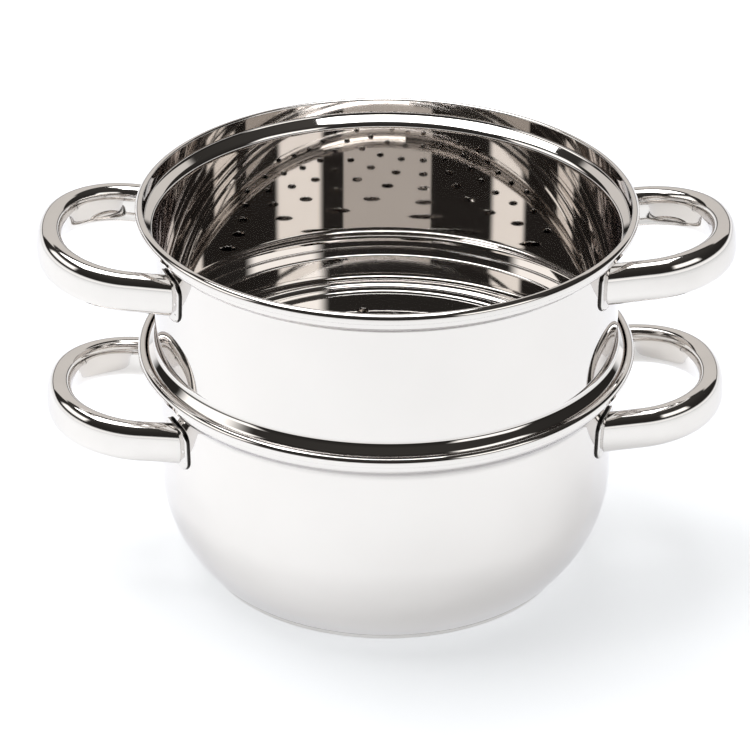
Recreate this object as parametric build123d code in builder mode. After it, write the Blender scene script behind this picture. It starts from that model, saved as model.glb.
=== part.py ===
"""Two-tier steamer pot: a casserole pot and a perforated steamer that nests on its rim.

Millimetres, +Z up. The origin is on the pot's axis, on the surface that it stands on.
The pot's handles lie along the X axis and its front faces -Y.
"""

from build123d import *
import os
from math import atan2, degrees, hypot, radians, sqrt, tan

# Sheet and fits
sheet = 0.8
seat_clearance = 0.3
collar_clearance = 0.5
weld_gap = 0.05
overrun = 5.0

# Rolled rim, the same on both tiers so that one lid fits either
collar_radius = 121.2
collar_bend = 3.0
lip_reach = 3.8
lip_drop = 4.2
crest_bend_share = 0.18
lip_bend_share = 0.8

# Pot
pot_height = 121.0
pot_ledge_width = 5.2
pot_draft = 1.4
pot_collar_depth = 8.6
pot_ledge_depth = 13.8
pot_ledge_bend = 8.0
belly_bend = 70.0
belly_slope = 45.0
foot_inset = 28.2
foot_bend = 2.4

# Heat-spreading base
core_thickness = 2.0
cap_sheet = 0.6
cap_inset = 0.4
cap_edge_bend = 1.5

# Steamer
tier_step = 77.1
steamer_turn = -2.1
steamer_ledge_width = 5.0
steamer_collar_depth = 8.6
steamer_ledge_depth = 12.2
steamer_ledge_bend = 3.4
flare_rise = 3.8
flare_height = 5.0
flare_bend = 2.2
seat_bend = 1.8
nest_inset = 9.4
nest_shoulder_bend = 0.5
nest_floor_depth = 26.3
nest_floor_bend = 3.0

# Ring pressed up round the steamer's floor
ring_inset = 9.3
ring_width = 6.0
ring_crown = 3.0
ring_height = 1.5
ring_bend = 1.2

# Perforations, on a square grid turned against the front, as far out as the field reaches
hole_radius = 3.0
hole_pitch = 18.0
hole_field_inset = 21.0
hole_turn = -21.7

# Loop handles, oval tube
tube_height = 20.6
tube_width = 12.8
tube_wall = 1.0
arm_spacing = 90.0
arm_overlap = 15.2
corner_bend = 40.0
end_bend = 60.0
pot_loop_reach = 44.3
pot_arm_drop = 32.2
pot_rise = 5.5
steamer_loop_reach = 47.0
steamer_arm_drop = 26.7
steamer_rise = 6.6
steamer_twist_left = -2.8
steamer_twist_right = -2.6

# Bracket plates, curved to the wall and welded to it
plate_thickness = 1.5
plate_width = 22.0
plate_height = 22.0
plate_corner = 6.0

base_height = cap_sheet + core_thickness
steamer_height = pot_height + tier_step
collar_outer = collar_radius + sheet
lip_radius = collar_radius + lip_reach
lip_inner = lip_radius - sheet
crest_bend = (lip_inner - collar_outer) * crest_bend_share
lip_bend = (lip_inner - collar_outer) * lip_bend_share

os.makedirs("parts", exist_ok=True)


def save(piece, name):
    """Label a finished piece and write its file."""
    piece.part.label = name
    export_step(piece.part, f"parts/{name}.step")


def rim(height):
    """Corners of the collar and the rolled lip, along the face that the lip's roll encloses."""
    crest = height - sheet
    return [(collar_outer, crest), (lip_inner, crest), (lip_inner, height - lip_drop)]


def revolved_sheet(corners, bends):
    """Revolve one sheet, whose lower and outer face follows the bent line through the corners."""
    with BuildPart() as shell:
        with BuildSketch(Plane.XZ):
            with BuildLine():
                FilletPolyline(*corners, radius=bends)
                offset(amount=sheet, side=Side.LEFT)
            make_face()
        revolve(axis=Axis.Z)
    return shell


# Pot shell: flat floor, tangent belly, slightly drafted wall, sloping ledge, collar and lip
pot_wall_radius = collar_radius - pot_ledge_width
foot_radius = collar_radius - foot_inset
ledge_low = pot_height - pot_ledge_depth
ledge_high = pot_height - pot_collar_depth
draft_run = tan(radians(pot_draft))
belly_run = 1 / tan(radians(belly_slope))


def pot_wall_at(height):
    """Outer radius of the pot's drafted wall at a height."""
    return pot_wall_radius - (ledge_low - height) * draft_run


belly_rise = (pot_wall_at(base_height) - foot_radius) / (belly_run - draft_run)
belly_corner = (foot_radius + belly_rise * belly_run, base_height + belly_rise)
pot_shell = revolved_sheet(
    [
        (0, base_height),
        (foot_radius, base_height),
        belly_corner,
        (pot_wall_radius, ledge_low),
        (collar_outer, ledge_high),
        *rim(pot_height),
    ],
    [foot_bend, belly_bend, pot_ledge_bend, collar_bend, crest_bend, lip_bend],
)
save(pot_shell, "pot_shell")

# Disc under the floor, and the steel cap pressed over it
cap_radius = foot_radius - cap_inset
core_radius = cap_radius - cap_sheet
with BuildPart() as pot_base_core:
    with BuildSketch(Plane.XY.offset(cap_sheet)):
        Circle(core_radius)
    extrude(amount=core_thickness)
    fillet(pot_base_core.edges().sort_by(Axis.Z)[0], cap_edge_bend - cap_sheet)
save(pot_base_core, "pot_base_core")

with BuildPart() as pot_base_cap:
    with BuildSketch(Plane.XY):
        Circle(cap_radius)
    extrude(amount=base_height)
    fillet(pot_base_cap.edges().sort_by(Axis.Z)[0], cap_edge_bend)
    add(pot_base_core.part, mode=Mode.SUBTRACT)
save(pot_base_cap, "pot_base_cap")

# Steamer shell: its flared seat drops into the pot's collar and rests on the pot's ledge
steamer_wall_radius = collar_radius - steamer_ledge_width
nest_radius = collar_radius - nest_inset
ring_radius = nest_radius - ring_inset
ledge_run = hypot(collar_outer - pot_wall_radius, ledge_high - ledge_low)
ledge_rise = (ledge_high - ledge_low) / (collar_outer - pot_wall_radius)
ledge_stretch = ledge_run / (collar_outer - pot_wall_radius)
seat_radius = collar_radius - collar_clearance
seat_centre_radius = seat_radius - seat_bend
ledge_under_seat = ledge_high - (collar_outer - seat_centre_radius) * ledge_rise
seat_reach = sheet + seat_clearance + seat_bend
seat_height = ledge_under_seat + seat_reach * ledge_stretch - seat_bend
flare_top = pot_height + flare_rise
nest_floor = pot_height - nest_floor_depth
ring_top = nest_floor + ring_height
steamer_ledge_low = steamer_height - steamer_ledge_depth
steamer_ledge_high = steamer_height - steamer_collar_depth
steamer_corners = [
    (0, nest_floor),
    (ring_radius - ring_width / 2, nest_floor),
    (ring_radius - ring_crown / 2, ring_top),
    (ring_radius + ring_crown / 2, ring_top),
    (ring_radius + ring_width / 2, nest_floor),
    (nest_radius, nest_floor),
    (nest_radius, seat_height),
    (seat_radius, seat_height),
    (seat_radius, flare_top - flare_height),
    (steamer_wall_radius, flare_top),
    (steamer_wall_radius, steamer_ledge_low),
    (collar_outer, steamer_ledge_high),
    *rim(steamer_height),
]
steamer_bends = [
    *([ring_bend] * 4),
    nest_floor_bend,
    nest_shoulder_bend,
    seat_bend,
    flare_bend,
    flare_bend,
    steamer_ledge_bend,
    collar_bend,
    crest_bend,
    lip_bend,
]
hole_field = ring_radius - hole_field_inset
hole_reach = int(hole_field / hole_pitch)
hole_steps = range(-hole_reach, hole_reach + 1)
hole_places = [
    (across * hole_pitch, along * hole_pitch)
    for across in hole_steps
    for along in hole_steps
    if hypot(across, along) * hole_pitch <= hole_field
]
steamer_body = revolved_sheet(steamer_corners, steamer_bends)
with BuildPart() as steamer_shell:
    add(steamer_body.part)
    with BuildSketch(Plane.XY.offset(nest_floor - overrun).rotated((0, 0, hole_turn))):
        with Locations(*hole_places):
            Circle(hole_radius)
    extrude(amount=2 * overrun, mode=Mode.SUBTRACT)
save(steamer_shell, "steamer_shell")


def steamer_wall_at(height):
    """Outer radius of the steamer's straight wall."""
    return steamer_wall_radius


def loop_plane(azimuth, arm_height, rise, twist):
    """Plane of a loop: X runs out along its arms, Y along the wall, Z across the tube."""
    facing = Location((0, 0, arm_height), (0, 0, azimuth)) * Pos(arm_start, 0, 0)
    return Plane(facing * Rot(twist, -rise, 0))


def wall_ring(wall_at, inner_gap, thickness, low, high):
    """Ring concentric with a tier's wall, standing inner_gap off it."""
    with BuildPart() as band:
        with BuildSketch(Plane.XZ):
            with BuildLine():
                Polyline(
                    (wall_at(low) + inner_gap, low),
                    (wall_at(low) + inner_gap + thickness, low),
                    (wall_at(high) + inner_gap + thickness, high),
                    (wall_at(high) + inner_gap, high),
                    close=True,
                )
            make_face()
        revolve(axis=Axis.Z)
    return band


def loop_handle(plane, reach, wall_at):
    """Oval tube bent into a loop and cut to the faces of its two bracket plates."""
    half_spacing = arm_spacing / 2
    end_centre = reach - end_bend - arm_start
    corner_y = half_spacing - corner_bend
    corner_x = end_centre + sqrt((end_bend - corner_bend) ** 2 - corner_y**2)
    meeting = degrees(atan2(corner_y, corner_x - end_centre))
    root = -arm_start / 2
    stop = plate_thickness + 2 * weld_gap
    low = plane.origin.Z - arm_spacing
    high = plane.origin.Z + arm_spacing
    with BuildPart() as tube:
        with BuildLine(plane):
            arm = Line((root, half_spacing), (corner_x, half_spacing))
            CenterArc((corner_x, corner_y), corner_bend, 90, meeting - 90)
            CenterArc((end_centre, 0), end_bend, meeting, -2 * meeting)
            CenterArc((corner_x, -corner_y), corner_bend, -meeting, meeting - 90)
            Line((corner_x, -half_spacing), (root, -half_spacing))
        with BuildSketch(Plane(origin=arm @ 0, x_dir=plane.z_dir, z_dir=arm % 0)):
            SlotOverall(tube_height, tube_width)
            offset(amount=-tube_wall, mode=Mode.SUBTRACT)
        sweep()
        with BuildSketch(Plane.XZ):
            with BuildLine():
                Polyline(
                    (0, low),
                    (wall_at(low) + stop, low),
                    (wall_at(high) + stop, high),
                    (0, high),
                    close=True,
                )
            make_face()
        revolve(axis=Axis.Z, mode=Mode.SUBTRACT)
    return tube


def bracket(plane, side, wall_at):
    """Plate with rounded corners, curved to the wall and centred on one arm of a loop."""
    arm = plane.from_local_coords((0, side * arm_spacing / 2, 0))
    middle = Plane(origin=arm, x_dir=plane.y_dir, z_dir=plane.x_dir)
    low = arm.Z - plate_height
    high = arm.Z + plate_height
    band = wall_ring(wall_at, weld_gap, plate_thickness, low, high)
    with BuildPart() as plate:
        with BuildSketch(middle):
            RectangleRounded(plate_width, plate_height, plate_corner)
        extrude(amount=plate_width, both=True)
        add(band.part, mode=Mode.INTERSECT)
    return plate


arm_start = collar_radius - arm_overlap
pot_reach = collar_radius + pot_loop_reach
steamer_reach = collar_radius + steamer_loop_reach
pot_arm = pot_height - pot_arm_drop
steamer_arm = steamer_height - steamer_arm_drop
loops = {
    "pot_{}_right": (loop_plane(0, pot_arm, pot_rise, 0), pot_reach, pot_wall_at),
    "pot_{}_left": (loop_plane(180, pot_arm, pot_rise, 0), pot_reach, pot_wall_at),
    "steamer_{}_right": (
        loop_plane(steamer_turn, steamer_arm, steamer_rise, steamer_twist_right),
        steamer_reach,
        steamer_wall_at,
    ),
    "steamer_{}_left": (
        loop_plane(steamer_turn + 180, steamer_arm, steamer_rise, steamer_twist_left),
        steamer_reach,
        steamer_wall_at,
    ),
}
for name, (plane, reach, wall_at) in loops.items():
    save(loop_handle(plane, reach, wall_at), name.format("handle"))
    for side in (-1, 1):
        plate = bracket(plane, side, wall_at)
        place = "front" if plane.from_local_coords((0, side * arm_spacing, 0)).Y < 0 else "back"
        save(plate, name.format("bracket") + "_" + place)
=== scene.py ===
"""Two-tier steamer pot in polished steel, on a white floor under a softbox.

Metres, +Z up, in the frame of the CAD model: the origin is on the pot's axis, on the floor,
the pot's handles lie along X and its front faces -Y.
"""

import logging
import math
from dataclasses import dataclass, field
from enum import Enum
from typing import Callable, Iterable, Sequence

import bpy
from mathutils import Matrix, Vector
from mathutils.geometry import delaunay_2d_cdt


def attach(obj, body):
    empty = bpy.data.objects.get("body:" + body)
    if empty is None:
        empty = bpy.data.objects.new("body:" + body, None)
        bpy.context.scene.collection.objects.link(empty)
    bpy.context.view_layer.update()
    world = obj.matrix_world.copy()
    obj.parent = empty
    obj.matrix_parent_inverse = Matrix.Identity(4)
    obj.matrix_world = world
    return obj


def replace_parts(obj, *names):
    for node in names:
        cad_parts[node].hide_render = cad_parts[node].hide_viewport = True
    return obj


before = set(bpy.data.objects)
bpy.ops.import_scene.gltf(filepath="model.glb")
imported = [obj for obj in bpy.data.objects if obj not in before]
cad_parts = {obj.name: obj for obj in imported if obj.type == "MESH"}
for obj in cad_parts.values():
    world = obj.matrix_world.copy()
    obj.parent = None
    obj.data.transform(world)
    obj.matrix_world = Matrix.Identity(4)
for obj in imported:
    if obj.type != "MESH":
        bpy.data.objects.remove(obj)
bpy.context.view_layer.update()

log = logging.getLogger("steamer_pot")

Radius = Callable[[float], float]
Colour = tuple[float, float, float]

PLACE_DIGITS = 7
NORMAL_WEIGHT = 0.001
ON_AXIS = 1e-9
CUT_TOLERANCE = 1e-7
WALL_PASSES = 12


class Body(Enum):
    """Bodies that the pieces ride on."""

    POT = "pot"
    STEAMER = "steamer"


class Slot(Enum):
    """Material slots of the part's record."""

    SHELL = "mirror_steel"
    HANDLE = "handle_steel"
    PLATE = "plate_steel"
    CAP = "base_steel"
    CORE = "base_aluminium"


class Side(Enum):
    """Sides of a tier that carry a loop, as turns from +X."""

    RIGHT = 0.0
    LEFT = math.pi


class End(Enum):
    """The two arms of a loop, seen from the camera."""

    FRONT = "front"
    BACK = "back"


class Skin:
    """Mesh under construction, whose points carry exact normals."""

    def __init__(self) -> None:
        """Start an empty skin."""
        self.places: list[Vector] = []
        self.normals: list[Vector] = []
        self.faces: list[tuple[int, ...]] = []
        self.known: dict[tuple[float, ...], int] = {}

    def point(self, place: Vector, normal: Vector) -> int:
        """Add a point, or find the one that is there already.

        Args:
            place: Where the point lies.
            normal: Unit normal of the surface there.

        Returns:
            The point's index.
        """
        key = tuple(round(value, PLACE_DIGITS) for value in (*place, *(normal * NORMAL_WEIGHT)))
        if key not in self.known:
            self.known[key] = len(self.places)
            self.places.append(place)
            self.normals.append(normal)
        return self.known[key]

    def face(self, *corners: int) -> None:
        """Add a face, without the corners that coincide.

        Args:
            corners: Indices of its points, in order round it.
        """
        ring = [c for at, c in enumerate(corners) if c != corners[at - 1]]
        if len(set(ring)) > 2:
            self.faces.append(tuple(ring))

    def grid(self, rows: Sequence[Sequence[int]], closed: bool) -> None:
        """Join rows of points of equal length by four-sided faces.

        Args:
            rows: Indices, row by row.
            closed: Whether each row runs round and meets its own start.
        """
        for low, high in zip(rows, rows[1:]):
            for at in range(len(low) if closed else len(low) - 1):
                after = (at + 1) % len(low)
                self.face(low[at], low[after], high[after], high[at])

    def ring(self, step: "Step", around: int, centre: Vector) -> list[int]:
        """Add points round an upright axis.

        Args:
            step: Radius, height and normal of the ring.
            around: Number of points in a full turn.
            centre: Where the axis meets the height zero.

        Returns:
            The points' indices.
        """
        row = []
        for at in range(around):
            angle = math.tau * at / around
            across, along = math.cos(angle), math.sin(angle)
            place = centre + Vector((step.radius * across, step.radius * along, step.height))
            row.append(self.point(place, Vector((step.out * across, step.out * along, step.up))))
        return row

    def fan(self, row: Sequence[int], hub: int, turned: bool = False) -> None:
        """Close a ring of points with triangles.

        Args:
            row: Indices round the ring.
            hub: Index of the point in the middle.
            turned: Whether the triangles wind the other way.
        """
        for at, start in enumerate(row):
            after = row[(at + 1) % len(row)]
            if turned:
                self.face(after, start, hub)
            else:
                self.face(start, after, hub)

    def piece(self, name: str, material: bpy.types.Material, slot: Slot, body: Body) -> bpy.types.Object:
        """Make the object, dress it and let it ride on its body.

        Args:
            name: Name of the piece.
            material: Its finish.
            slot: Slot of the record that the finish comes from. Not used.
            body: Body that it rides on.

        Returns:
            The new object, which stands for no node yet.
        """
        mesh = bpy.data.meshes.new(name)
        mesh.from_pydata(self.places, [], self.faces)
        mesh.polygons.foreach_set("use_smooth", [True] * len(mesh.polygons))
        mesh.normals_split_custom_set_from_vertices(self.normals)
        return ridden(name, mesh, material, body)


def ridden(
    name: str, mesh: bpy.types.Mesh, material: bpy.types.Material, body: Body
) -> bpy.types.Object:
    """Make the object of a finished mesh, dress it and let it ride on its body.

    Args:
        name: Name of the piece.
        mesh: Its finished mesh.
        material: Its finish.
        body: Body that it rides on.

    Returns:
        The new object, which stands for no node yet.
    """
    mesh.materials.append(material)
    thing = bpy.data.objects.new(name, mesh)
    bpy.context.scene.collection.objects.link(thing)
    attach(thing, body.value)
    log.info("%s: %d faces on %s", name, len(mesh.polygons), body.value)
    return thing


@dataclass(frozen=True)
class Step:
    """A point of a profile, with its unit normal."""

    radius: float
    height: float
    out: float
    up: float

    def moved(self, distance: float) -> "Step":
        """Give the step that lies a distance along the normal."""
        return Step(self.radius + distance * self.out, self.height + distance * self.up, self.out, self.up)

    def turned(self) -> "Step":
        """Give the same place with the opposite normal."""
        return Step(self.radius, self.height, -self.out, -self.up)


@dataclass(frozen=True)
class Corner:
    """A corner of a profile and the radius that rounds it."""

    radius: float
    height: float
    bend: float = 0.0


def rounded(corners: Sequence[Corner], stride: float = math.radians(5)) -> list[Step]:
    """Round the corners of an open line with arcs.

    Args:
        corners: Corners from the axis outward, the first and last of them sharp ends.
        stride: Largest turn between two neighbouring steps.

    Returns:
        Steps along the line, whose normals point to its right.
    """
    steps: list[Step] = []
    spots = [Vector((c.radius, c.height)) for c in corners]
    runs = [(after - before).normalized() for before, after in zip(spots, spots[1:])]
    steps.append(Step(*spots[0], runs[0].y, -runs[0].x))
    for at in range(1, len(spots) - 1):
        before, after = runs[at - 1], runs[at]
        turn = math.atan2(before.x * after.y - before.y * after.x, before.dot(after))
        bend = corners[at].bend
        start = spots[at] - before * bend * math.tan(abs(turn) / 2)
        side = math.copysign(1, turn)
        centre = start + Vector((-before.y, before.x)) * bend * side
        count = max(2, math.ceil(abs(turn) / stride))
        heading = math.atan2(before.y, before.x)
        for share in range(count + 1):
            angle = heading + turn * share / count
            right = Vector((math.sin(angle), -math.cos(angle)))
            spot = centre + right * bend * side
            steps.append(Step(*spot, *right))
    steps.append(Step(*spots[-1], runs[-1].y, -runs[-1].x))
    return steps


def half_round(last: Step, thickness: float, count: int = 8) -> list[Step]:
    """Round the cut edge of a sheet.

    Args:
        last: Last step of the face that the profile follows.
        thickness: Thickness of the sheet.
        count: Number of strides round the edge.

    Returns:
        Steps from that face round the edge to the other face.
    """
    centre = last.moved(-thickness / 2)
    start = math.atan2(last.up, last.out)
    steps = []
    for share in range(1, count):
        angle = start + math.pi * share / count
        out, up = math.cos(angle), math.sin(angle)
        steps.append(Step(centre.radius, centre.height, out, up).moved(thickness / 2))
    return steps


def sheet_section(corners: Sequence[Corner], thickness: float) -> list[Step]:
    """Closed section of one sheet that follows a rounded line.

    Args:
        corners: Corners of its lower and outer face, from the axis outward.
        thickness: Thickness of the sheet.

    Returns:
        Steps along the outer face, round the cut edge and back along the inner face.
    """
    outer = rounded(corners)
    inner = [step.turned().moved(thickness) for step in reversed(outer)]
    return [*outer, *half_round(outer[-1], thickness), *inner]


def spun(skin: Skin, section: Sequence[Step], around: int) -> list[list[int]]:
    """Spin a section about the Z axis.

    Args:
        skin: Mesh that takes the points and faces.
        section: Steps in order, with the surface on their right.
        around: Number of copies in a full turn.

    Returns:
        The rows of points, one per step. A row at the axis is one point.
    """
    axis = Vector((0, 0, 0))
    rows = [skin.ring(step, 1 if step.radius < ON_AXIS else around, axis) for step in section]
    for low, high in zip(rows, rows[1:]):
        if len(low) == 1 and len(high) > 1:
            skin.fan(high, low[0], turned=True)
        elif len(high) == 1 and len(low) > 1:
            skin.fan(low, high[0])
        elif len(low) > 1:
            skin.grid([low, high], closed=True)
    return rows


@dataclass
class Rim:
    """Collar and rolled lip, the same on both tiers."""

    sheet: float = 0.0008
    lip_radius: float = 0.125
    lip_drop: float = 0.0042
    crest_bend_share: float = 0.08
    lip_bend_share: float = 0.9
    collar_radius: float = 0.1212
    collar_bend: float = 0.003

    @property
    def collar_outer(self) -> float:
        """Outer radius of the collar."""
        return self.collar_radius + self.sheet

    def corners(self, height: float) -> list[Corner]:
        """Corners of the collar's top and the lip, along the face that the roll encloses.

        Args:
            height: Height of the crest.

        Returns:
            The last three corners of a tier's profile.
        """
        crest = height - self.sheet
        inner = self.lip_radius - self.sheet
        flat = inner - self.collar_outer
        return [
            Corner(self.collar_outer, crest, flat * self.crest_bend_share),
            Corner(inner, crest, flat * self.lip_bend_share),
            Corner(inner, height - self.lip_drop),
        ]


@dataclass
class Pot:
    """Casserole pot: shell, heat-spreading disc and the cap pressed over it."""

    steel: bpy.types.Material
    cap_steel: bpy.types.Material
    aluminium: bpy.types.Material
    rim: Rim = field(default_factory=Rim)
    height: float = 0.121
    wall_radius: float = 0.116
    draft: float = math.radians(1.4)
    collar_depth: float = 0.0086
    ledge_depth: float = 0.0138
    ledge_bend: float = 0.008
    belly_bend: float = 0.07
    belly_slope: float = math.radians(45)
    foot_radius: float = 0.093
    foot_bend: float = 0.0024
    core_thickness: float = 0.002
    cap_sheet: float = 0.0006
    cap_radius: float = 0.0926
    cap_edge_bend: float = 0.0015
    body: Body = Body.POT
    arm_depth: float = 0.0322
    arm_rise: float = math.radians(5.5)
    loop_turn: float = 0.0
    loop_twists: tuple[float, float] = (0.0, 0.0)
    loop_reach: float = 0.1655
    around: int = 256

    @property
    def base_height(self) -> float:
        """Height of the shell's floor over the table."""
        return self.cap_sheet + self.core_thickness

    def wall_at(self, height: float) -> float:
        """Outer radius of the drafted wall at a height."""
        return self.wall_radius - (self.height - self.ledge_depth - height) * math.tan(self.draft)

    def shell(self) -> bpy.types.Object:
        """Build the drawn shell.

        Returns:
            The piece that stands for pot_shell.
        """
        run = 1 / math.tan(self.belly_slope)
        rise = (self.wall_at(self.base_height) - self.foot_radius) / (run - math.tan(self.draft))
        corners = [
            Corner(0, self.base_height),
            Corner(self.foot_radius, self.base_height, self.foot_bend),
            Corner(self.foot_radius + rise * run, self.base_height + rise, self.belly_bend),
            Corner(self.wall_radius, self.height - self.ledge_depth, self.ledge_bend),
            Corner(self.rim.collar_outer, self.height - self.collar_depth, self.rim.collar_bend),
            *self.rim.corners(self.height),
        ]
        skin = Skin()
        spun(skin, sheet_section(corners, self.rim.sheet), self.around)
        piece = skin.piece("PotShell", self.steel, Slot.SHELL, Body.POT)
        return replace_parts(piece, "pot_shell")

    def base(self) -> list[bpy.types.Object]:
        """Build the disc and its cap.

        Returns:
            The pieces that stand for pot_base_core and pot_base_cap.
        """
        core_radius = self.cap_radius - self.cap_sheet
        core_bend = self.cap_edge_bend - self.cap_sheet
        lining = rounded([
            Corner(0, self.cap_sheet),
            Corner(core_radius, self.cap_sheet, core_bend),
            Corner(core_radius, self.base_height),
        ])
        disc = Skin()
        lid = [Step(core_radius, self.base_height, 0, 1), Step(0, self.base_height, 0, 1)]
        spun(disc, lining, self.around)
        spun(disc, lid, self.around)
        core = disc.piece("PotBaseCore", self.aluminium, Slot.CORE, Body.POT)
        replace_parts(core, "pot_base_core")
        face = rounded([
            Corner(0, 0),
            Corner(self.cap_radius, 0, self.cap_edge_bend),
            Corner(self.cap_radius, self.base_height),
        ])
        pressing = Skin()
        spun(pressing, face, self.around)
        edge = [Step(radius, self.base_height, 0, 1) for radius in (self.cap_radius, core_radius)]
        spun(pressing, edge, self.around)
        spun(pressing, [step.turned() for step in reversed(lining)], self.around)
        cap = pressing.piece("PotBaseCap", self.cap_steel, Slot.CAP, Body.POT)
        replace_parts(cap, "pot_base_cap")
        return [core, cap]


@dataclass
class Steamer:
    """Steamer insert: flared seat, nesting wall and perforated floor with a raised ring."""

    steel: bpy.types.Material
    pot: Pot
    rim: Rim = field(default_factory=Rim)
    tier_step: float = 0.0771
    wall_radius: float = 0.1162
    collar_depth: float = 0.0086
    ledge_depth: float = 0.0122
    ledge_bend: float = 0.0034
    seat_clearance: float = 0.0003
    collar_clearance: float = 0.0005
    flare_rise: float = 0.0038
    flare_height: float = 0.005
    flare_bend: float = 0.005
    seat_bend: float = 0.0018
    nest_radius: float = 0.1118
    nest_shoulder_bend: float = 0.0005
    nest_floor_depth: float = 0.0263
    nest_floor_bend: float = 0.003
    ring_radius: float = 0.1025
    ring_width: float = 0.006
    ring_crown: float = 0.003
    ring_height: float = 0.0015
    ring_bend: float = 0.0012
    hole_radius: float = 0.003
    hole_pitch: float = 0.018
    hole_field: float = 0.0815
    hole_turn: float = math.radians(-21.7)
    hole_edge: float = 0.0001
    body: Body = Body.STEAMER
    arm_depth: float = 0.0267
    arm_rise: float = math.radians(6.6)
    loop_turn: float = math.radians(-2.1)
    loop_twists: tuple[float, float] = (math.radians(-2.6), math.radians(-2.8))
    loop_reach: float = 0.1682
    around: int = 256
    hole_around: int = 32
    hole_edge_steps: int = 4

    @property
    def height(self) -> float:
        """Height of the steamer's crest over the table."""
        return self.pot.height + self.tier_step

    @property
    def floor_low(self) -> float:
        """Height of the floor's lower face."""
        return self.pot.height - self.nest_floor_depth

    @property
    def plain_radius(self) -> float:
        """Radius of the flat floor inside the raised ring."""
        return self.ring_radius - self.ring_width / 2 - self.ring_bend

    def wall_at(self, height: float) -> float:
        """Outer radius of the straight wall."""
        return self.wall_radius

    def seat_height(self) -> float:
        """Find where the seat's lower face rests on the pot's ledge.

        Returns:
            Its height over the table.
        """
        pot, collar = self.pot, self.rim.collar_outer
        rise = pot.ledge_depth - pot.collar_depth
        run = collar - pot.wall_radius
        centre = self.rim.collar_radius - self.collar_clearance - self.seat_bend
        under = pot.height - pot.collar_depth - (collar - centre) * rise / run
        reach = self.rim.sheet + self.seat_clearance + self.seat_bend
        return under + reach * math.hypot(run, rise) / run - self.seat_bend

    def corners(self) -> list[Corner]:
        """List the corners of the shell outside its plain floor.

        Returns:
            Corners of the lower and outer face, from the plain floor outward.
        """
        floor, seat = self.floor_low, self.seat_height()
        seat_radius = self.rim.collar_radius - self.collar_clearance
        flare_top = self.pot.height + self.flare_rise
        ring_top = floor + self.ring_height
        return [
            Corner(self.plain_radius, floor),
            Corner(self.ring_radius - self.ring_width / 2, floor, self.ring_bend),
            Corner(self.ring_radius - self.ring_crown / 2, ring_top, self.ring_bend),
            Corner(self.ring_radius + self.ring_crown / 2, ring_top, self.ring_bend),
            Corner(self.ring_radius + self.ring_width / 2, floor, self.ring_bend),
            Corner(self.nest_radius, floor, self.nest_floor_bend),
            Corner(self.nest_radius, seat, self.nest_shoulder_bend),
            Corner(seat_radius, seat, self.seat_bend),
            Corner(seat_radius, flare_top - self.flare_height, self.flare_bend),
            Corner(self.wall_radius, flare_top, self.flare_bend),
            Corner(self.wall_radius, self.height - self.ledge_depth, self.ledge_bend),
            Corner(self.rim.collar_outer, self.height - self.collar_depth, self.rim.collar_bend),
            *self.rim.corners(self.height),
        ]

    def hole_centres(self) -> list[Vector]:
        """Place the holes on a square grid, turned against the front.

        Returns:
            Centres of all holes, in the floor's plane.
        """
        reach = int(self.hole_field / self.hole_pitch)
        across = Vector((math.cos(self.hole_turn), math.sin(self.hole_turn))) * self.hole_pitch
        along = Vector((-across.y, across.x))
        centres = []
        for row in range(-reach, reach + 1):
            for column in range(-reach, reach + 1):
                if math.hypot(row, column) * self.hole_pitch <= self.hole_field:
                    centres.append(across * column + along * row)
        return centres

    def plain_floor(self, skin: Skin) -> None:
        """Add the flat floor with its holes, whose edges are eased.

        Args:
            skin: Mesh that takes the points and faces.
        """
        low, high = self.floor_low, self.floor_low + self.rim.sheet
        centres = self.hole_centres()
        wide = self.hole_radius + self.hole_edge
        rings = [(Vector((0, 0)), self.plain_radius, self.around)]
        rings += [(centre, wide, self.hole_around) for centre in centres]
        spots, edges = [], []
        for centre, radius, count in rings:
            first = len(spots)
            for at in range(count):
                angle = math.tau * at / count
                spots.append(centre + Vector((math.cos(angle), math.sin(angle))) * radius)
                edges.append((first + at, first + (at + 1) % count))
        flat, _, triangles, *_ = delaunay_2d_cdt(spots, edges, [], 0, CUT_TOLERANCE)
        open_radius = wide - self.hole_edge / 10
        for triangle in triangles:
            middle = sum((flat[corner] for corner in triangle), Vector((0, 0))) / len(triangle)
            if any((middle - centre).length < open_radius for centre in centres):
                continue
            for height, facing in ((low, -1), (high, 1)):
                around = list(triangle) if facing > 0 else list(reversed(triangle))
                up = Vector((0, 0, facing))
                skin.face(*(skin.point(Vector((*flat[corner], height)), up) for corner in around))
        for centre in centres:
            self.hole_wall(skin, centre)

    def hole_wall(self, skin: Skin, centre: Vector) -> None:
        """Line one hole from the floor's lower to its upper face.

        Args:
            skin: Mesh that takes the points and faces.
            centre: Centre of the hole in the floor's plane.
        """
        low, high = self.floor_low, self.floor_low + self.rim.sheet
        wide, edge = self.hole_radius + self.hole_edge, self.hole_edge
        count = self.hole_edge_steps
        section = []
        for share in range(count + 1):
            angle = math.pi / 2 * share / count
            out, up = -math.sin(angle), -math.cos(angle)
            section.append(Step(wide + edge * out, low + edge + edge * up, out, up))
        for share in range(count + 1):
            angle = math.pi / 2 * (1 - share / count)
            out, up = -math.sin(angle), math.cos(angle)
            section.append(Step(wide + edge * out, high - edge + edge * up, out, up))
        rows = [skin.ring(step, self.hole_around, centre.to_3d()) for step in section]
        skin.grid(list(reversed(rows)), closed=True)

    def shell(self) -> bpy.types.Object:
        """Build the drawn shell with its perforated floor.

        Returns:
            The piece that stands for steamer_shell.
        """
        skin = Skin()
        section = sheet_section(self.corners(), self.rim.sheet)
        spun(skin, section, self.around)
        self.plain_floor(skin)
        piece = skin.piece("SteamerShell", self.steel, Slot.SHELL, Body.STEAMER)
        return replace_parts(piece, "steamer_shell")


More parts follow.
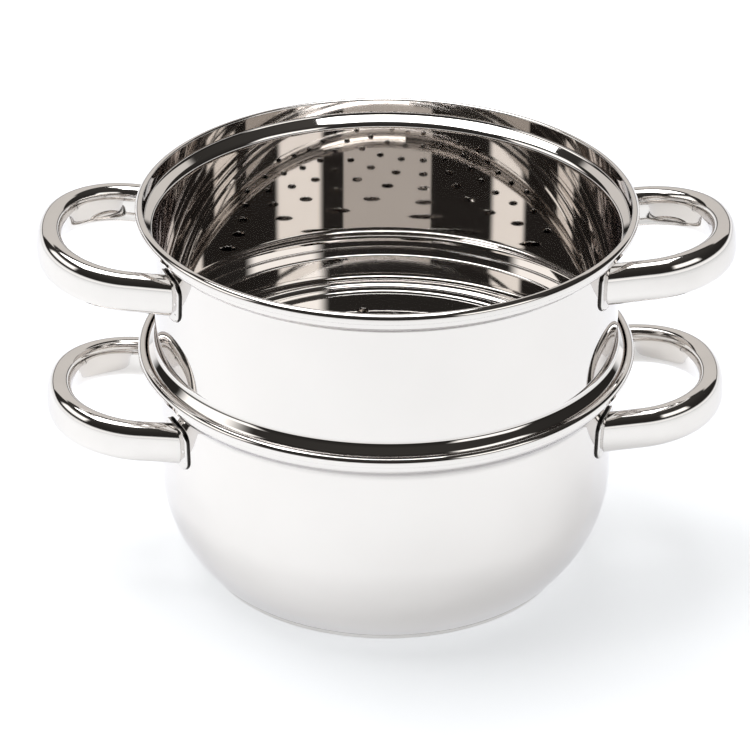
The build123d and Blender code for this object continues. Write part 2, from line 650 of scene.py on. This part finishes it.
@dataclass
class Loop:
    """One loop handle of oval tube and its two welded bracket plates."""

    name: str
    nodes: str
    body: Body
    steel: bpy.types.Material
    plate_steel: bpy.types.Material
    wall_at: Radius
    azimuth: float
    arm_height: float
    rise: float
    twist: float
    reach: float
    tube_height: float = 0.0206
    tube_width: float = 0.0128
    arm_spacing: float = 0.09
    arm_start: float = 0.106
    corner_bend: float = 0.04
    end_bend: float = 0.06
    weld_gap: float = 0.00005
    plate_thickness: float = 0.0015
    plate_width: float = 0.022
    plate_height: float = 0.022
    plate_corner: float = 0.006
    plate_edge: float = 0.0007
    dimple_places: tuple[float, ...] = (0.0066, 0.0, -0.0066)
    dimple_offset: float = 0.0087
    dimple_radius: float = 0.0011
    dimple_depth: float = 0.0005
    fullness: float = 2.5
    section_around: int = 64
    arm_steps: int = 6
    bend_stride: float = math.radians(2.5)
    corner_steps: int = 8
    side_steps: int = 10
    edge_steps: int = 4
    plate_rings: int = 40

    def __post_init__(self) -> None:
        """Place the loop: X runs out along the arms, Y along the wall, Z across the tube."""
        turned = Matrix.Rotation(self.azimuth, 3, "Z")
        tilted = turned @ Matrix.Rotation(self.twist, 3, "X") @ Matrix.Rotation(-self.rise, 3, "Y")
        self.out, self.along, self.up = (Vector(column) for column in tilted.col)
        self.origin = turned @ Vector((self.arm_start, 0, 0)) + Vector((0, 0, self.arm_height))

    def centre_line(self) -> list[tuple[float, float, float]]:
        """Lay the tube's centre line out in the loop's plane.

        Returns:
            Distance out, distance along the wall, and heading, from one root to the other.
        """
        half = self.arm_spacing / 2
        end_centre = self.reach - self.end_bend - self.arm_start
        corner_y = half - self.corner_bend
        corner_x = end_centre + math.sqrt((self.end_bend - self.corner_bend) ** 2 - corner_y**2)
        meeting = math.atan2(corner_y, corner_x - end_centre)
        first = [(corner_x * share / self.arm_steps, half, 0.0) for share in range(self.arm_steps)]
        count = math.ceil((math.pi / 2 - meeting) / self.bend_stride)
        for share in range(count):
            angle = math.pi / 2 - (math.pi / 2 - meeting) * share / count
            out = corner_x + self.corner_bend * math.cos(angle)
            first.append((out, corner_y + self.corner_bend * math.sin(angle), angle - math.pi / 2))
        count = math.ceil(meeting / self.bend_stride)
        for share in range(count + 1):
            angle = meeting * (1 - share / count)
            out = end_centre + self.end_bend * math.cos(angle)
            first.append((out, self.end_bend * math.sin(angle), angle - math.pi / 2))
        second = [(x, -y, -math.pi - heading) for x, y, heading in reversed(first[:-1])]
        return first + second

    def section(self) -> list[tuple[float, float, float, float]]:
        """Draw the oval section of the tube.

        Returns:
            Distance to the tube's left, distance up, and the normal's two parts, point by point.
        """
        wide, tall = self.tube_width / 2, self.tube_height / 2
        power = 2 / self.fullness
        points = []
        for at in range(self.section_around):
            angle = math.tau * (at + 0.5) / self.section_around
            across, rise = math.cos(angle), math.sin(angle)
            x = wide * math.copysign(abs(across) ** power, across)
            y = tall * math.copysign(abs(rise) ** power, rise)
            steep_x = math.copysign(abs(across) ** (2 - power), across) / wide
            steep_y = math.copysign(abs(rise) ** (2 - power), rise) / tall
            points.append((*Vector((x, y)), *Vector((steep_x, steep_y)).normalized()))
        return points

    def onto_wall(self, place: Vector, stand: float) -> Vector:
        """Slide a place along the arms until it stands off the wall by a distance.

        Args:
            place: Place to slide.
            stand: Distance between it and the wall.

        Returns:
            The place on that ring.
        """
        spot = place.copy()
        for _ in range(WALL_PASSES):
            gap = self.wall_at(spot.z) + stand - math.hypot(spot.x, spot.y)
            slope = (spot.x * self.out.x + spot.y * self.out.y) / math.hypot(spot.x, spot.y)
            spot += self.out * gap / slope
        return spot

    def tube(self) -> bpy.types.Object:
        """Sweep the tube and cut its ends to the plates.

        Returns:
            The piece that stands for the handle's node.
        """
        skin = Skin()
        line, section = self.centre_line(), self.section()
        stand = self.plate_thickness + 2 * self.weld_gap
        rows = []
        for at, (x, y, heading) in enumerate(line):
            middle = self.origin + self.out * x + self.along * y
            left = self.out * -math.sin(heading) + self.along * math.cos(heading)
            row = []
            for across, rise, normal_across, normal_rise in section:
                place = middle + left * across + self.up * rise
                if at in (0, len(line) - 1):
                    place = self.onto_wall(place, stand)
                row.append(skin.point(place, left * normal_across + self.up * normal_rise))
            rows.append(row)
        skin.grid(rows, closed=True)
        for row, turned in ((rows[0], True), (rows[-1], False)):
            back = -self.out
            ring = [skin.point(skin.places[corner], back) for corner in row]
            middle = sum((skin.places[corner] for corner in row), Vector()) / len(row)
            skin.fan(ring, skin.point(self.onto_wall(middle, stand), back), turned)
        piece = skin.piece(f"{self.name}Tube", self.steel, Slot.HANDLE, self.body)
        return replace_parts(piece, self.nodes.format("handle"))

    def outline(self) -> list[Vector]:
        """Draw the plate's rounded rectangle.

        Returns:
            Points round it, counter-clockwise as seen from outside the pot.
        """
        inset = Vector((self.plate_width / 2 - self.plate_corner, self.plate_height / 2 - self.plate_corner))
        points = []
        for corner in range(4):
            signs = (1 if corner in (0, 3) else -1, 1 if corner < 2 else -1)
            for share in range(self.corner_steps + 1):
                angle = math.pi / 2 * (corner + share / self.corner_steps)
                reach = Vector((math.cos(angle), math.sin(angle))) * self.plate_corner
                points.append(Vector((inset.x * signs[0], inset.y * signs[1])) + reach)
            here = points[-1]
            span = (self.plate_width if corner % 2 == 0 else self.plate_height) - 2 * self.plate_corner
            way = Vector(((-1, 0), (0, -1), (1, 0), (0, 1))[corner])
            for share in range(1, self.side_steps):
                points.append(here + way * span * share / self.side_steps)
        return points

    def dimples(self, spot: Vector) -> float:
        """Depth of the weld marks at a place on the plate.

        Args:
            spot: Place, along the wall and up.

        Returns:
            How far the surface is pressed in.
        """
        depth = 0.0
        for height in self.dimple_places:
            for side in (-1, 1):
                gap = (spot - Vector((side * self.dimple_offset, height))).length / self.dimple_radius
                depth += self.dimple_depth * math.exp(-gap * gap)
        return depth

    def plate(self, side: int, end: End) -> bpy.types.Object:
        """Build one bracket plate, curved to the wall.

        Args:
            side: Which arm of the loop it carries, -1 or 1.
            end: Whether that arm is the front or the back one.

        Returns:
            The piece that stands for the bracket's node.
        """
        arm = self.origin + self.along * (side * self.arm_spacing / 2)

        def lift(spot: Vector, stand: float) -> Vector:
            """Put a place of the plate's drawing at a distance from the wall."""
            place = arm + self.along * spot.x + self.up * spot.y
            return self.onto_wall(place, self.weld_gap + stand)

        outline = self.outline()
        shoulder = self.plate_thickness - self.plate_edge
        rows = [[lift(spot, stand) for spot in outline] for stand in (0, shoulder)]
        half = self.plate_width / 2
        for share in range(1, self.edge_steps + 1):
            angle = math.pi / 2 * share / self.edge_steps
            inset = self.plate_edge * (1 - math.cos(angle))
            stand = self.plate_thickness - self.plate_edge * (1 - math.sin(angle))
            shrink = 1 - inset / half
            rows.append([lift(spot * shrink, stand) for spot in outline])
        inner = 1 - self.plate_edge / half
        for share in range(1, self.plate_rings):
            scale = inner * (1 - share / self.plate_rings)
            rows.append([lift(s * scale, self.plate_thickness - self.dimples(s * scale)) for s in outline])
        hub = lift(Vector((0, 0)), self.plate_thickness)
        mesh = bpy.data.meshes.new("plate")
        count = len(outline)
        places = [place for row in rows for place in row] + [hub]
        last = (len(rows) - 1) * count
        faces = []
        turns = [(step, (step + 1) % count) for step in range(count)]
        for low in range(0, last, count):
            high = low + count
            faces += [(low + here, low + after, high + after, high + here) for here, after in turns]
        faces += [(last + here, last + after, len(places) - 1) for here, after in turns]
        faces.append(tuple(reversed(range(count))))
        mesh.from_pydata(places, [], faces)
        # Marks the plate's back face and side, where it meets the wall, for painted shade: the finish paints
        # these points near black as the dark gap line.
        edge_shade_mask = mesh.attributes.new("painted_edge_shade", "FLOAT", "POINT")
        edge_shade_mask.data.foreach_set("value", [float(at < 2 * count) for at in range(len(places))])
        mesh.polygons.foreach_set("use_smooth", [True] * (len(faces) - 1) + [False])
        name = f"{self.name}Plate{end.value.title()}"
        piece = ridden(name, mesh, self.plate_steel, self.body)
        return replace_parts(piece, f"{self.nodes.format('bracket')}_{end.value}")

    def build(self) -> list[bpy.types.Object]:
        """Build the tube and both plates.

        Returns:
            The three pieces.
        """
        pieces = [self.tube()]
        for side in (-1, 1):
            place = self.origin + self.along * (side * self.arm_spacing)
            pieces.append(self.plate(side, End.FRONT if place.y < 0 else End.BACK))
        return pieces


@dataclass(frozen=True)
class NodeGroup:
    """A shader node group and how it is placed in a material."""

    tree: bpy.types.ShaderNodeTree

    def placed(self, material: bpy.types.Material, **values: float) -> bpy.types.ShaderNode:
        """Place the group in a material.

        Args:
            material: Material that takes it.
            values: Values of its inputs, with underscores for spaces.

        Returns:
            The new node.
        """
        node = material.node_tree.nodes.new("ShaderNodeGroup")
        node.node_tree = self.tree
        for name, value in values.items():
            node.inputs[name.replace("_", " ").title()].default_value = value
        return node


def new_group(
    name: str, inputs: dict[str, float], outputs: Iterable[str]
) -> tuple[bpy.types.ShaderNodeTree, bpy.types.ShaderNode, bpy.types.ShaderNode]:
    """Start a shader node group.

    Args:
        name: Name of the group.
        inputs: Names and default values of its number inputs.
        outputs: Names of its number outputs.

    Returns:
        The tree, its input node and its output node.
    """
    tree = bpy.data.node_groups.new(name, "ShaderNodeTree")
    for label, value in inputs.items():
        socket = tree.interface.new_socket(label, in_out="INPUT", socket_type="NodeSocketFloat")
        socket.default_value = value
    for label in outputs:
        tree.interface.new_socket(label, in_out="OUTPUT", socket_type="NodeSocketFloat")
    return tree, tree.nodes.new("NodeGroupInput"), tree.nodes.new("NodeGroupOutput")


def add(
    tree: bpy.types.ShaderNodeTree, kind: str, inputs: dict[str | int, object], **settings: str
) -> bpy.types.ShaderNode:
    """Add one node.

    Args:
        tree: Tree that takes it.
        kind: Type of the node, without its leading ShaderNode.
        inputs: Values or sockets for its inputs, by name or index.
        settings: Values of its properties.

    Returns:
        The new node.
    """
    node = tree.nodes.new(f"ShaderNode{kind}")
    for name, value in settings.items():
        setattr(node, name, value)
    for key, value in inputs.items():
        if isinstance(value, bpy.types.NodeSocket):
            tree.links.new(value, node.inputs[key])
        else:
            node.inputs[key].default_value = value
    return node


def maths(tree: bpy.types.ShaderNodeTree, operation: str, *operands: object) -> bpy.types.NodeSocket:
    """Add one Math node.

    Args:
        tree: Tree that takes it.
        operation: Operation of the node.
        operands: Numbers or sockets, in order.

    Returns:
        The socket with its result.
    """
    return add(tree, "Math", dict(enumerate(operands)), operation=operation).outputs[0]


def spin_lines_group() -> NodeGroup:
    """Make the fine lines that a polishing wheel leaves round a turned shell.

    The slope keeps both flat floors and upright walls striped.

    Returns:
        The group, which puts out a mask of the lines.
    """
    inputs = {"Pitch": 0.0008, "Drift": 0.6, "Slope": 1.618}
    tree, source, sink = new_group("SpinLines", inputs, ["Lines"])
    where = add(tree, "TexCoord", {}).outputs["Object"]
    x, y, z = add(tree, "SeparateXYZ", {0: where}).outputs
    squares = [maths(tree, "MULTIPLY", part, part) for part in (x, y)]
    radius = maths(tree, "SQRT", maths(tree, "ADD", *squares))
    reach = maths(tree, "MULTIPLY_ADD", z, source.outputs["Slope"], radius)
    lines = maths(tree, "DIVIDE", reach, source.outputs["Pitch"])
    drift = maths(tree, "MULTIPLY", maths(tree, "ARCTAN2", y, x), source.outputs["Drift"])
    place = add(tree, "CombineXYZ", {0: lines, 1: drift}).outputs[0]
    inputs = {"Vector": place, "Scale": 1.0, "Detail": 3.0}
    noise = add(tree, "TexNoise", inputs, noise_dimensions="2D")
    tree.links.new(noise.outputs[0], sink.inputs["Lines"])
    return NodeGroup(tree)


def smudge_group() -> NodeGroup:
    """Make the soft clouds that handling leaves on polished steel.

    Returns:
        The group, which puts out a mask of the clouds.
    """
    tree, source, sink = new_group("Smudges", {"Size": 0.03}, ["Clouds"])
    where = add(tree, "TexCoord", {}).outputs["Object"]
    scale = maths(tree, "DIVIDE", 1.0, source.outputs["Size"])
    noise = add(tree, "TexNoise", {"Vector": where, "Scale": scale, "Detail": 4.0})
    tree.links.new(noise.outputs[0], sink.inputs["Clouds"])
    return NodeGroup(tree)


def sheet_waves_group() -> NodeGroup:
    """Make the slow waves that drawing leaves in a sheet.

    Returns:
        The group, which puts out a mask of the waves.
    """
    tree, source, sink = new_group("SheetWaves", {"Length": 0.05, "Stretch": 0.5}, ["Waves"])
    where = add(tree, "TexCoord", {}).outputs["Object"]
    x, y, z = add(tree, "SeparateXYZ", {0: where}).outputs
    tall = maths(tree, "MULTIPLY", z, source.outputs["Stretch"])
    place = add(tree, "CombineXYZ", {0: x, 1: y, 2: tall}).outputs[0]
    scale = maths(tree, "DIVIDE", 1.0, source.outputs["Length"])
    noise = add(tree, "TexNoise", {"Vector": place, "Scale": scale, "Detail": 1.0})
    tree.links.new(noise.outputs[0], sink.inputs["Waves"])
    return NodeGroup(tree)


@dataclass(frozen=True)
class PolishedSteel:
    """A polished finish: how bright, how smooth, and how strongly its lines and clouds show."""

    slot: Slot
    bright: Colour
    dull: Colour
    smooth: float
    rough: float
    line_pitch: float
    line_height: float
    cloud_size: float
    cloud_range: tuple[float, float] = (0.35, 0.75)
    cloud_share: float = 0.6
    edge: Colour = (0.9, 0.9, 0.92)
    wave_height: float = 0.0
    wave_length: float = 0.05
    # Near-black colour of the painted shade on the plate's side and back where it meets the wall.
    edge_shade_colour: Colour = (0.0, 0.0, 0.0)

    def material(self, lines: NodeGroup, smudges: NodeGroup, waves: NodeGroup) -> bpy.types.Material:
        """Build the finish.

        Args:
            lines: Group of the polishing lines.
            smudges: Group of the clouds.
            waves: Group of the sheet's slow waves.

        Returns:
            The material.
        """
        made = bpy.data.materials.new(self.slot.value)
        made.use_nodes = True
        tree = made.node_tree
        turned = lines.placed(made, pitch=self.line_pitch).outputs["Lines"]
        drawn = waves.placed(made, length=self.wave_length).outputs["Waves"]
        touched = smudges.placed(made, size=self.cloud_size).outputs["Clouds"]
        low, high = self.cloud_range
        spread = add(tree, "MapRange", {"Value": touched, "From Min": low, "From Max": high}).outputs[0]
        ends = {"A": (*self.bright, 1), "B": (*self.dull, 1), "Factor": spread}
        tint = add(tree, "Mix", ends, data_type="RGBA").outputs["Result"]
        # Painted shade: the marked plate edge is mixed toward a near-black colour that stands in for the
        # dark gap between plate and wall.
        edge_shade_mask = add(tree, "Attribute", {}, attribute_name="painted_edge_shade").outputs["Fac"]
        ends = {"A": tint, "B": (*self.edge_shade_colour, 1), "Factor": edge_shade_mask}
        shade = add(tree, "Mix", ends, data_type="RGBA").outputs["Result"]
        streaks = maths(tree, "MULTIPLY", turned, 1 - self.cloud_share)
        sheen = maths(tree, "MULTIPLY_ADD", spread, self.cloud_share, streaks)
        gloss = add(tree, "MapRange", {"Value": sheen, "To Min": self.smooth, "To Max": self.rough})
        fine = maths(tree, "MULTIPLY", turned, self.line_height)
        height = maths(tree, "MULTIPLY_ADD", drawn, self.wave_height, fine)
        bump = add(tree, "Bump", {"Height": height, "Distance": 1.0, "Strength": 1.0})
        shader = tree.nodes["Principled BSDF"]
        shader.inputs["Metallic"].default_value = 1.0
        shader.inputs["Specular Tint"].default_value = (*self.edge, 1)
        tree.links.new(shade, shader.inputs["Base Color"])
        tree.links.new(gloss.outputs[0], shader.inputs["Roughness"])
        tree.links.new(bump.outputs[0], shader.inputs["Normal"])
        return made


@dataclass(frozen=True)
class SoftWindow:
    """A bright window far off in the surroundings, with soft edges.

    Angles are degrees: the span runs to the right of straight behind the pot.
    """

    span: tuple[float, float]
    rise: tuple[float, float]
    colour: Colour
    edge: float

    def light(
        self, tree: bpy.types.ShaderNodeTree, azimuth: bpy.types.NodeSocket, elevation: bpy.types.NodeSocket
    ) -> bpy.types.NodeSocket:
        """Draw the window.

        Args:
            tree: World tree that takes it.
            azimuth: Degrees to the right of straight behind the pot.
            elevation: Degrees above the floor.

        Returns:
            The colour that the window adds.
        """
        off = maths(tree, "ABSOLUTE", maths(tree, "SUBTRACT", azimuth, sum(self.span) / 2))
        inside = maths(tree, "SUBTRACT", (self.span[1] - self.span[0]) / 2, off)
        above = maths(tree, "SUBTRACT", elevation, self.rise[0])
        below = maths(tree, "SUBTRACT", self.rise[1], elevation)
        mask = None
        for distance in (inside, above, below):
            limits = {"Value": distance, "From Min": -self.edge / 2, "From Max": self.edge / 2}
            ease = add(tree, "MapRange", limits, interpolation_type="SMOOTHSTEP").outputs[0]
            mask = ease if mask is None else maths(tree, "MULTIPLY", mask, ease)
        return add(tree, "VectorMath", {0: self.colour, "Scale": mask}, operation="SCALE").outputs[0]


@dataclass
class Studio:
    """Floor, surroundings, softbox and camera."""

    floor_radius: float = 4.0
    floor_sides: int = 96
    floor_glow: float = 0.5
    floor_tint: Colour = (0.98, 1.0, 1.02)
    floor_white: Colour = (0.84, 0.86, 0.885)
    overhead_place: tuple[float, float, float] = (-0.4, 0.4, 2.2)
    overhead_size: tuple[float, float] = (1.8, 1.6)
    overhead_radiance: float = 4.3
    bounces: int = 16
    camera_place: tuple[float, float, float] = (-0.12932, -1.84939, 1.0970)
    camera_yaw: float = math.radians(3.83)
    camera_pitch: float = math.radians(28.27)
    camera_roll: float = math.radians(-0.37)
    focal_px: float = 4156.0
    frame_px: float = 750.0
    sensor_mm: float = 36.0
    view_depth: float = 20.0
    elevation_stops: tuple[tuple[float, float], ...] = (
        (-90, 1.2),
        (0, 1.2),
        (5, 1.0),
        (9, 0.02),
        (35, 0.03),
        (60, 0.045),
        (90, 0.07),
    )
    dark_tint: Colour = (1.0, 0.93, 0.86)
    windows: tuple[SoftWindow, ...] = (
        SoftWindow((-44, 44), (12, 44), (0.70, 0.67, 0.64), 3.0),
        SoftWindow((-114, -67), (18, 38), (1.45, 1.42, 1.38), 8.0),
        SoftWindow((109, 146), (18, 38), (1.45, 1.42, 1.38), 8.0),
    )

    def floor(self) -> bpy.types.Object:
        """Lay the white floor.

        Returns:
            The floor.
        """
        skin = Skin()
        middle = Vector((0, 0, 0))
        rim = skin.ring(Step(self.floor_radius, 0, 0, 1), self.floor_sides, middle)
        skin.fan(rim, skin.point(middle, Vector((0, 0, 1))))
        mesh = bpy.data.meshes.new("Floor")
        mesh.from_pydata(skin.places, [], skin.faces)
        floor = bpy.data.objects.new("Floor", mesh)
        paper = bpy.data.materials.new("white_floor")
        paper.use_nodes = True
        shader = paper.node_tree.nodes["Principled BSDF"]
        shader.inputs["Base Color"].default_value = (*self.floor_white, 1)
        shader.inputs["Roughness"].default_value = 1.0
        shader.inputs["Specular IOR Level"].default_value = 0.0
        shader.inputs["Emission Color"].default_value = (*self.floor_tint, 1)
        shader.inputs["Emission Strength"].default_value = self.floor_glow
        mesh.materials.append(paper)
        bpy.context.scene.collection.objects.link(floor)
        return floor

    def surroundings(self) -> None:
        """Grade the surroundings by elevation: white at the horizon, dark above."""
        world = bpy.data.worlds.new("Studio")
        bpy.context.scene.world = world
        world.use_nodes = True
        tree = world.node_tree
        where = add(tree, "TexCoord", {}).outputs["Generated"]
        x, y, z = add(tree, "SeparateXYZ", {0: where}).outputs
        turn = maths(tree, "SUBTRACT", maths(tree, "ARCTAN2", x, y), self.camera_yaw)
        azimuth = maths(tree, "DEGREES", turn)
        elevation = maths(tree, "DEGREES", maths(tree, "ARCSINE", z))
        ramp = add(tree, "ValToRGB", {0: maths(tree, "MULTIPLY_ADD", z, 0.5, 0.5)})
        band = ramp.color_ramp
        for at, (angle, level) in enumerate(self.elevation_stops):
            place = math.sin(math.radians(angle)) / 2 + 0.5
            stop = band.elements[at] if at < 2 else band.elements.new(place)
            stop.position = place
            tint = self.dark_tint if level < 1 else (1, 1, 1)
            stop.color = (*(level * share for share in tint), 1)
        light = ramp.outputs[0]
        for window in self.windows:
            glow = window.light(tree, azimuth, elevation)
            light = add(tree, "VectorMath", {0: light, 1: glow}).outputs[0]
        tree.links.new(light, tree.nodes["Background"].inputs["Color"])

    def softbox(self) -> bpy.types.Object:
        """Hang the rectangular softbox, which faces straight down.

        Returns:
            The light.
        """
        lamp = bpy.data.lights.new("Overhead", "AREA")
        lamp.shape = "RECTANGLE"
        lamp.size, lamp.size_y = self.overhead_size
        lamp.energy = self.overhead_radiance * math.pi * lamp.size * lamp.size_y
        thing = bpy.data.objects.new("Overhead", lamp)
        thing.location = self.overhead_place
        thing.rotation_euler = Vector((0, 0, -1)).to_track_quat("-Z", "Y").to_euler()
        bpy.context.scene.collection.objects.link(thing)
        return thing

    def camera(self) -> bpy.types.Object:
        """Set the camera at the eye's place.

        Returns:
            The camera.
        """
        yaw, pitch, roll = self.camera_yaw, -self.camera_pitch, self.camera_roll
        ahead = Vector((math.sin(yaw) * math.cos(pitch), math.cos(yaw) * math.cos(pitch), math.sin(pitch)))
        right = ahead.cross(Vector((0, 0, 1))).normalized()
        up = right.cross(ahead)
        level = Matrix((right, up, -ahead)).transposed()
        lens = bpy.data.cameras.new("Camera")
        lens.sensor_width = self.sensor_mm
        lens.lens = self.focal_px / self.frame_px * self.sensor_mm
        lens.clip_end = self.view_depth
        eye = bpy.data.objects.new("Camera", lens)
        eye.matrix_world = Matrix.Translation(self.camera_place) @ (
            level @ Matrix.Rotation(-roll, 3, "Z")
        ).to_4x4()
        bpy.context.scene.collection.objects.link(eye)
        bpy.context.scene.camera = eye
        return eye

    def build(self) -> None:
        """Set the whole studio up."""
        self.floor()
        self.surroundings()
        self.softbox()
        self.camera()
        cycles = bpy.context.scene.cycles
        cycles.max_bounces = self.bounces
        cycles.glossy_bounces = self.bounces
        bpy.context.scene.view_settings.view_transform = "Standard"


def main() -> None:
    """Build the studio and every piece of the steamer pot."""
    logging.basicConfig(level=logging.INFO, format="%(message)s")
    groups = (spin_lines_group(), smudge_group(), sheet_waves_group())
    shell_steel = PolishedSteel(
        Slot.SHELL, bright=(0.80, 0.775, 0.752), dull=(0.78, 0.755, 0.732), smooth=0.02, rough=0.05,
        line_pitch=0.0008, line_height=5e-9, cloud_size=0.05, wave_height=7e-5, wave_length=0.07,
    ).material(*groups)
    handle_steel = PolishedSteel(
        Slot.HANDLE, bright=(0.80, 0.775, 0.75), dull=(0.77, 0.745, 0.72), smooth=0.04, rough=0.1,
        line_pitch=0.0006, line_height=2e-7, cloud_size=0.02,
    ).material(*groups)
    # The plate finish paints the plate's side at the wall near black as shade.
    plate_steel = PolishedSteel(
        Slot.PLATE, bright=(0.77, 0.745, 0.72), dull=(0.72, 0.70, 0.68), smooth=0.08, rough=0.16,
        line_pitch=0.0006, line_height=4e-7, cloud_size=0.01, edge_shade_colour=(0.04, 0.038, 0.036),
    ).material(*groups)
    cap_steel = PolishedSteel(
        Slot.CAP, bright=(0.74, 0.72, 0.70), dull=(0.69, 0.67, 0.65), smooth=0.12, rough=0.25,
        line_pitch=0.0012, line_height=2e-6, cloud_size=0.04,
    ).material(*groups)
    aluminium = PolishedSteel(
        Slot.CORE, bright=(0.78, 0.78, 0.79), dull=(0.72, 0.72, 0.73), smooth=0.25, rough=0.4,
        line_pitch=0.0015, line_height=2e-6, cloud_size=0.03,
    ).material(*groups)
    pot = Pot(shell_steel, cap_steel, aluminium)
    pot.shell()
    pot.base()
    steamer = Steamer(shell_steel, pot)
    steamer.shell()
    for tier in (pot, steamer):
        for side, twist in zip(Side, tier.loop_twists):
            Loop(
                f"{tier.body.value.title()}{side.name.title()}",
                f"{tier.body.value}_{{}}_{side.name.lower()}",
                tier.body,
                handle_steel,
                plate_steel,
                tier.wall_at,
                azimuth=tier.loop_turn + side.value,
                arm_height=tier.height - tier.arm_depth,
                rise=tier.arm_rise,
                twist=twist,
                reach=tier.loop_reach,
            ).build()
    Studio().build()


if __name__ == "__main__":
    main()
